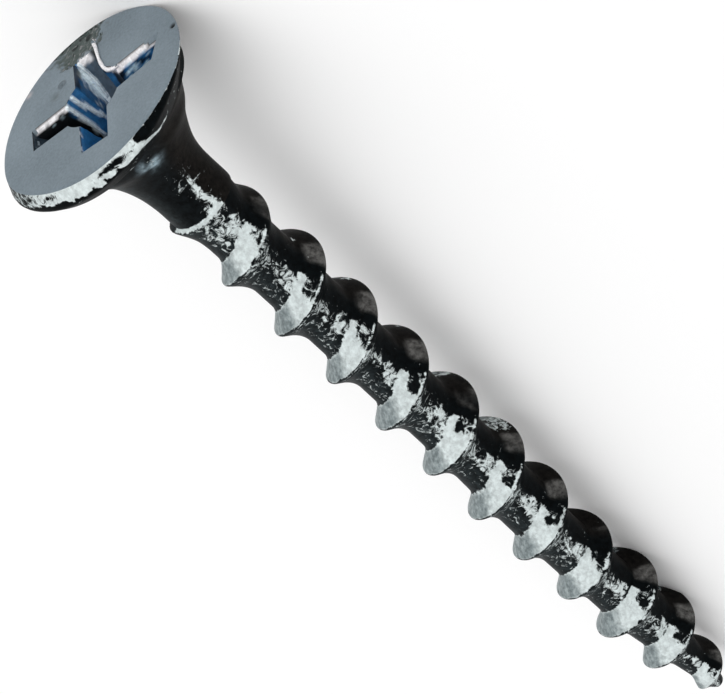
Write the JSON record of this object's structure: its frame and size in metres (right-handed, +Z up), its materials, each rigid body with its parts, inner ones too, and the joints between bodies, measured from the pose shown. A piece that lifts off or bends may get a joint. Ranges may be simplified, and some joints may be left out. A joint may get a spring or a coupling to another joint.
{
  "type": "drywall screw",
  "caption": "Bugle-head drywall screw with a cross recess, a short plain neck and a coarse right-hand thread that runs out on a blunt point, lying on its side.",
  "frame": {"origin": "middle of the footprint, on the surface that the screw lies on", "axes": "+Z up, +X along the screw towards the point, which lies a little lower than the head"},
  "size_m": [0.0402, 0.0082, 0.008],
  "materials": {
    "zinc_steel": "bright zinc plate over dark steel, worn on the flanks and streaked in the thread"
  },
  "bodies": {
    "root": {"drywall_screw": "zinc_steel"}
  },
  "joints": []
}
